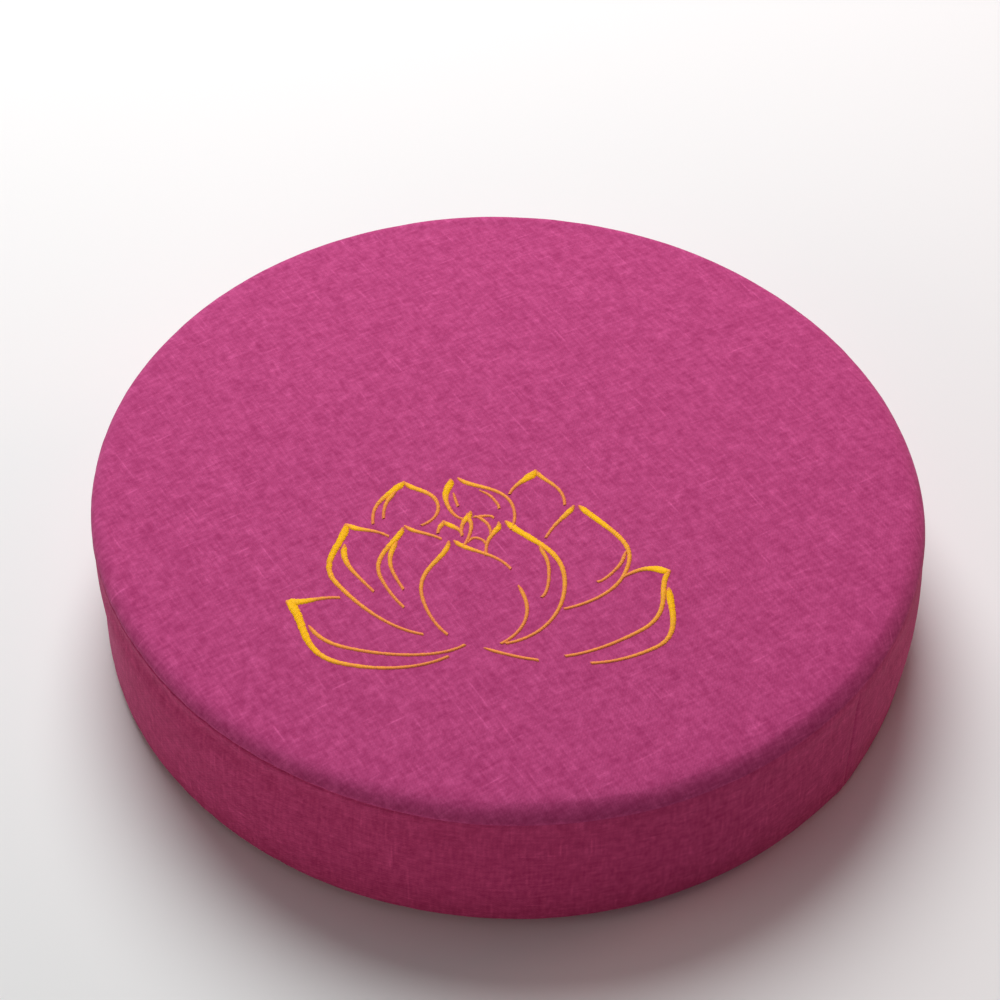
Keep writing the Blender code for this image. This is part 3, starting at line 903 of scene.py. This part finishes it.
def make_satin_tree():
    tree = new_tree("satin_stitch", (
        ("Step", "NodeSocketFloat", STITCH_STEP),
        ("Thickness", "NodeSocketFloat", STITCH_THICKNESS),
        ("Rise", "NodeSocketFloat", STITCH_RISE),
        ("Slant", "NodeSocketFloat", STITCH_SLANT),
        ("Seed", "NodeSocketInt", 1),
        ("Thread", "NodeSocketMaterial", None),
    ))
    nodes = Nodes(tree)
    given = nodes.add("NodeGroupInput", {}, {}, "Geometry")
    path = nodes.add("GeometryNodeResampleCurve", {"mode": "LENGTH"},
                     {"Curve": given, "Length": given.out("Step")})
    half = nodes.add("GeometryNodeInputRadius")
    tangent = nodes.add("GeometryNodeInputTangent")
    heading = nodes.add("FunctionNodeAlignRotationToVector", {"axis": "Y", "pivot_axis": "Z"},
                        {"Vector": tangent})
    arch = nodes.add("GeometryNodeCurveArc", {"mode": "RADIUS"},
                     {"Resolution": ARCH_POINTS, "Radius": 1.0, "Start Angle": 0.0,
                      "Sweep Angle": math.pi})
    upright = nodes.add("GeometryNodeTransform", {}, {
        "Geometry": arch, "Rotation": (math.pi / 2, 0.0, 0.0)})
    points = nodes.add("GeometryNodeInstanceOnPoints", {}, {"Points": path, "Instance": upright,
                                                            "Rotation": heading})
    width = nodes.add("GeometryNodeSampleIndex", {"data_type": "FLOAT"}, {
        "Geometry": path, "Value": half, "Index": nodes.add("GeometryNodeInputIndex")})
    random = nodes.add("FunctionNodeRandomValue", {"data_type": "FLOAT"},
                       {2: STITCH_SIZES[0], 3: STITCH_SIZES[1], "Seed": given.out("Seed")}, 1)
    rise = given.out("Rise").maths("MINIMUM", width * STEEPEST_RISE)
    size = nodes.add("ShaderNodeCombineXYZ", {}, {0: width * random, 1: 1.0, 2: rise * random})
    turn = nodes.add("ShaderNodeCombineXYZ", {}, {2: given.out("Slant")})
    slanted = nodes.add("GeometryNodeRotateInstances", {}, {"Instances": points, "Rotation": turn})
    scaled = nodes.add("GeometryNodeScaleInstances", {}, {"Instances": slanted, "Scale": size})
    # The tone is chance plus a share by width; the width share is painted shade on fine strokes.
    tone = nodes.add("FunctionNodeRandomValue", {"data_type": "FLOAT"},
                     {2: 0.0, 3: CHANCE_TONE, "Seed": given.out("Seed") + 7}, 1)
    broad = nodes.add("ShaderNodeMapRange", {}, {
        "Value": width, "From Min": FINE_HALF_WIDTH, "From Max": BROAD_HALF_WIDTH, "To Max": WIDTH_SHADE_LIFT})
    stored = nodes.add("GeometryNodeStoreNamedAttribute", {"data_type": "FLOAT", "domain": "INSTANCE"},
                       {"Geometry": scaled, "Name": "tone", "Value": tone + broad})
    real = nodes.add("GeometryNodeRealizeInstances", {}, {"Geometry": stored})
    section = nodes.add("GeometryNodeCurvePrimitiveCircle", {"mode": "RADIUS"},
                        {"Resolution": THREAD_SIDES, "Radius": given.out("Thickness")})
    thread = nodes.add("GeometryNodeCurveToMesh", {}, {
        "Curve": nodes.add("GeometryNodeSetCurveRadius", {}, {"Curve": real, "Radius": 1.0}),
        "Profile Curve": section, "Fill Caps": True})
    smooth = nodes.add("GeometryNodeSetShadeSmooth", {}, {"Geometry": thread, "Shade Smooth": True})
    coloured = nodes.add("GeometryNodeSetMaterial", {}, {
        "Geometry": smooth, "Material": given.out("Thread")})
    nodes.add("NodeGroupOutput", {}, {"Geometry": coloured})
    return tree


satin_tree = make_satin_tree()
print("satin tree", len(satin_tree.nodes), "nodes")

# %% Stitch the lotus
PATH_STEP = 0.0012
CHART_STEPS = 60
RUN_STEPS = 240
SINK = 0.00012
THREAD_START = 0.30
THREAD_THIN = 1.40
THREAD_TAPER = 2.1
SWELL_LENGTH = 4.5
MOST_SWELL = 0.4
HAND = 0.14
HAND_STEP = 0.45
LAID = Vector((0.0, -0.9)) * MM


def tree_inputs(modifier, values):
    """Sets a tree's inputs by the names that they have in the tree."""
    for item in modifier.node_group.interface.items_tree:
        if item.item_type == "SOCKET" and item.in_out == "INPUT" and item.name in values:
            modifier[item.identifier] = values[item.name]


def stroke_width(stroke, s, length):
    """Width of a stroke at the fraction s of its length: it swells soon and thins towards its end."""
    swell = min(SWELL_LENGTH / length, MOST_SWELL)
    if s < swell:
        return stroke.width * (THREAD_START + (1 - THREAD_START) * math.sin(math.pi / 2 * s / swell))
    left = ((1 - s) / (1 - swell)) ** THREAD_TAPER
    thin = min(THREAD_THIN, stroke.width)
    return thin + (stroke.width - thin) * left


cover_tree = BVHTree.FromPolygons([v.co.copy() for v in cover.data.vertices],
                                  [tuple(p.vertices) for p in cover.data.polygons])


def top_point(x, y):
    """The point of the top panel above a place in plan."""
    hit = cover_tree.ray_cast(Vector((x, y, 1.0)), Vector((0, 0, -1)))
    return hit[0]


def stroke_run(stroke, steps):
    """Points along a stroke, in the chart's millimetres."""
    petal = PETALS[stroke.petal]
    heights = [stroke.begin + (stroke.end - stroke.begin) * i / steps for i in range(steps + 1)]
    return [petal_side(petal, stroke.side, t, stroke.inset) for t in heights]


def chart_shift():
    """How far to move the chart: the CAD centres its plan after drawing, which one stroke's box tells,
    and the stitches are laid a little to the front, as the dressed top stands higher than the solid."""
    stroke = STROKES[0]
    low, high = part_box("thread_" + stroke.name)
    xs, ys = zip(*stroke_run(stroke, CHART_STEPS))
    drawn = Vector(((min(xs) + max(xs)) / 2, (min(ys) + max(ys)) / 2)) * MM
    return (low + high).xy / 2 - drawn + LAID


shift = chart_shift()
print("chart shift", [round(v / MM, 2) for v in shift])


def stroke_curve(stroke, number):
    """A poly curve on the top panel along a stroke; its radius is half the stroke's width."""
    run = [(x * MM + shift.x, y * MM + shift.y) for x, y in stroke_run(stroke, RUN_STEPS)]
    reach = np.concatenate([[0], np.cumsum([math.dist(a, b) for a, b in zip(run, run[1:])])])
    count = max(round(reach[-1] / PATH_STEP), 4)
    wanted = np.linspace(0, reach[-1], count + 1)
    xs = np.interp(wanted, reach, [p[0] for p in run])
    ys = np.interp(wanted, reach, [p[1] for p in run])
    curve = bpy.data.curves.new("path_" + stroke.name, "CURVE")
    curve.dimensions = "3D"
    spline = curve.splines.new("POLY")
    spline.points.add(count)
    for k, point in enumerate(spline.points):
        place = top_point(xs[k], ys[k])
        point.co = (place.x, place.y, place.z - SINK, 1.0)
        hand = 1 + HAND * noise.noise(Vector((k * HAND_STEP, number, 0)))
        point.radius = stroke_width(stroke, k / count, reach[-1] / MM) * hand * MM / 2
    return add_object("path_" + stroke.name, curve)


def stitch(stroke, number):
    path = stroke_curve(stroke, number)
    maker = path.modifiers.new("Satin stitch", "NODES")
    maker.node_group = satin_tree
    tree_inputs(maker, {"Seed": number, "Thread": gold})
    mesh = evaluated_mesh(path)
    bpy.data.objects.remove(path)
    piece = add_object("gold_" + stroke.name, mesh)
    if stroke in STROKES:
        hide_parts("thread_" + stroke.name)
    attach(piece, "root")
    return piece


stitched = [stitch(stroke, number) for number, stroke in enumerate(STROKES + FINE_STROKES)]
print("stitched", sum(len(piece.data.polygons) for piece in stitched), "faces")

# %% [markdown]
# ## Floor and light
# The cushion lies on a pale floor. A broad soft lamp stands high behind it, as a window does, with
# a weak one overhead, so the top is even and the boxing in front falls into shade. Three weaker
# lamps, low at the left, right and front, lift the shade with warmer light, as a room's walls do.

# %% Set the stage
FLOOR_SIZE = 8.0
FLOOR_COLOUR = (0.80, 0.82, 0.82)
ROOM_COLOUR = (1.0, 1.0, 1.0)
ROOM_GLOW = 0.05
Lamp = namedtuple("Lamp", "name place aim size watts colour")
LAMPS = (
    Lamp("window_behind", (-0.15, 1.55, 2.0), (0, 0, 0), 1.8, 69.5, (1.0, 1.0, 1.0)),
    Lamp("window_above", (-0.1, 0.4, 2.4), (0, 0, 0), 1.8, 7, (1.0, 1.0, 1.0)),
    Lamp("fill_left", (-2.3, -0.5, 0.8), (0, 0, 0.05), 1.2, 5.2, (0.98, 1.0, 0.82)),
    Lamp("fill_right", (2.3, 0.7, 0.8), (0, 0, 0.05), 1.0, 12, (1.0, 0.32, 0.34)),
    Lamp("fill_front", (-1.3, -2.3, 0.8), (0, 0, 0.05), 1.4, 9.6, (1.0, 0.60, 0.65)),
)


def make_floor():
    mesh = bpy.data.meshes.new("floor")
    half = FLOOR_SIZE / 2
    mesh.from_pydata([(-half, -half, 0), (half, -half, 0), (half, half, 0), (-half, half, 0)],
                     [], [(0, 1, 2, 3)])
    material, nodes, shader = new_material("pale_floor")
    nodes.feed(shader, {"Base Color": FLOOR_COLOUR, "Roughness": 0.9})
    mesh.materials.append(material)
    floor = add_object("floor", mesh)


def hang_lamp(lamp):
    light = bpy.data.lights.new(lamp.name, "AREA")
    light.shape = "DISK"
    light.size = lamp.size
    light.energy = lamp.watts
    light.color = lamp.colour
    thing = bpy.data.objects.new(lamp.name, light)
    scene.collection.objects.link(thing)
    thing.location = lamp.place
    thing.rotation_euler = (Vector(lamp.aim) - Vector(lamp.place)).to_track_quat("-Z", "Y").to_euler()


def light_room():
    """A faint even light from everywhere."""
    world = bpy.data.worlds.new("studio")
    scene.world = world
    world.use_nodes = True
    background = world.node_tree.nodes["Background"]
    Nodes(world.node_tree).feed(background, {"Color": ROOM_COLOUR, "Strength": ROOM_GLOW})


make_floor()
for lamp in LAMPS:
    hang_lamp(lamp)
light_room()
scene.view_settings.view_transform = "Standard"
print(len(LAMPS), "lamps")
